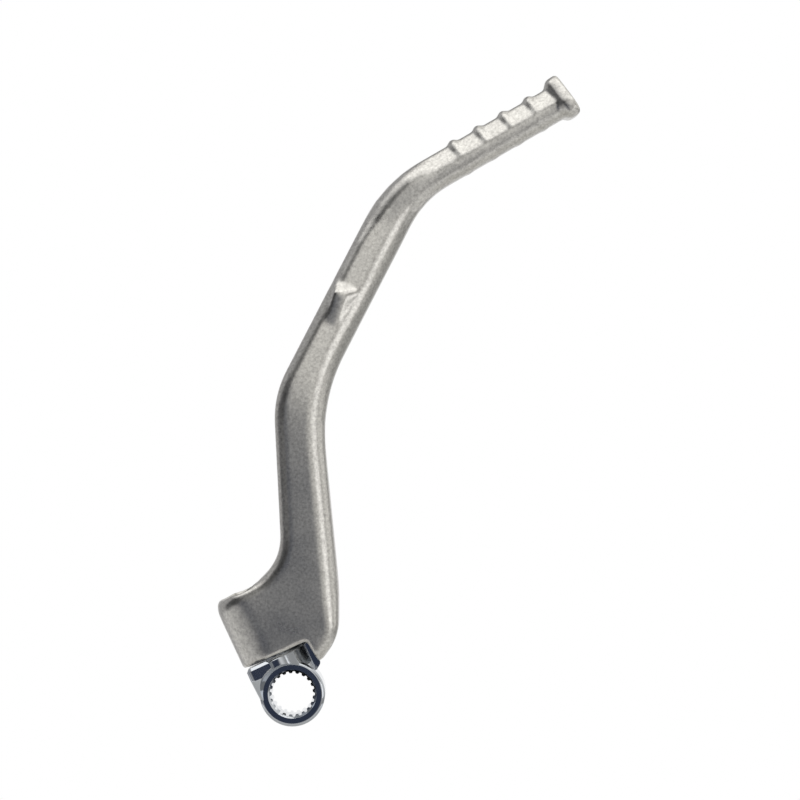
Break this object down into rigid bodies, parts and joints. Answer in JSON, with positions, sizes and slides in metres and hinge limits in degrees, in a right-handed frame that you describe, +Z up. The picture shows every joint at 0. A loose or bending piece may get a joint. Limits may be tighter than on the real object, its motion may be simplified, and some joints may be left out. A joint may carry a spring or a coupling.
{
  "type": "kick start lever",
  "caption": "Folding kick start lever: a forged aluminium arm with a ribbed foot pedal, hinged on a chromed steel knuckle whose splined ring fits the engine's kick shaft.",
  "frame": {"origin": "centre of the knuckle's splined bore", "axes": "+Y along the kick shaft towards the engine, +Z up with the lever standing as in the picture, +X towards the pedal's end"},
  "size_m": [0.146, 0.0359, 0.2607],
  "materials": {
    "forged_aluminium": "forged, bead-blasted to a satin",
    "chrome_plate": "bright chrome plate over forged steel",
    "washer_steel": "stamped, tumbled",
    "spring_steel": "oil-blackened",
    "ball_steel": "ground and polished"
  },
  "bodies": {
    "knuckle": {"knuckle": "chrome_plate", "thrust_washer": "washer_steel", "circlip": "spring_steel"},
    "lever": {"kick_lever": "forged_aluminium", "detent_spring": "spring_steel", "detent_ball": "ball_steel"}
  },
  "joints": [
    {"name": "fold", "type": "hinge", "parent": "knuckle", "child": "lever", "pos_m": [0, 0, 0], "axis": [0.4226, 0, -0.9063], "range_deg": [0, 90]}
  ]
}
